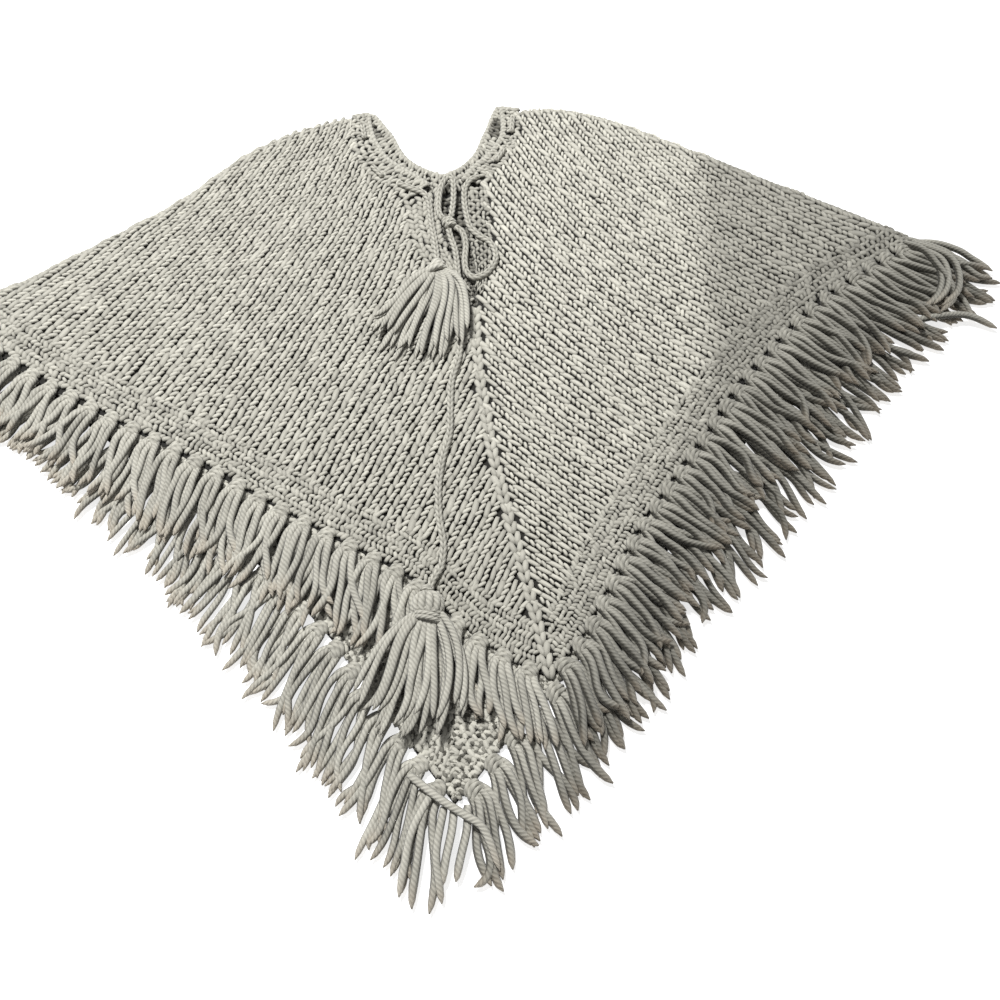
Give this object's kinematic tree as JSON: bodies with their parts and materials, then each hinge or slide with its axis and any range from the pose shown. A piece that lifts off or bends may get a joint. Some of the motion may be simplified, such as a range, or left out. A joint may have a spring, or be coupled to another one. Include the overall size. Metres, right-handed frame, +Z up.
{
  "type": "knitted poncho sweater",
  "caption": "Bulky hand-knitted poncho laid flat, front on back, with a pointed hem, knotted fringe, laced neckband, bow and two tassels.",
  "frame": {"origin": "on the surface that the garment lies on, under the middle of its bounding box", "axes": "+X from the wing at the wearer's right, the left of the view, to the other wing; +Y from the points of the hem up to the neck; +Z up, out of the front"},
  "size_m": [1.482, 1.1346, 0.0418],
  "materials": {
    "knit_yarn": "bulky three-ply wool, stocking stitch with a seed stitch border, matt",
    "fringe_yarn": "three-ply wool strands, cut ends a little frayed, matt",
    "cord_yarn": "braided wool cord and tied wool strands, matt"
  },
  "bodies": {
    "root": {"back_panel": "knit_yarn", "bow_knot": "cord_yarn", "bow_loop_large": "cord_yarn", "bow_loop_small": "cord_yarn", "cord_long": "cord_yarn", "cord_short": "cord_yarn", "drawstring_left_high": "cord_yarn", "drawstring_left_low": "cord_yarn", "drawstring_right_high": "cord_yarn", "drawstring_right_low": "cord_yarn", "fringe_back_left": "fringe_yarn", "fringe_back_right": "fringe_yarn", "fringe_front_left": "fringe_yarn", "fringe_front_right": "fringe_yarn", "front_panel": "knit_yarn", "neckband_back": "knit_yarn", "neckband_front_left": "knit_yarn", "neckband_front_right": "knit_yarn", "placket_left": "knit_yarn", "placket_right": "knit_yarn", "tassel_long_head": "cord_yarn", "tassel_long_skirt": "cord_yarn", "tassel_short_head": "cord_yarn", "tassel_short_skirt": "cord_yarn"}
  },
  "joints": []
}
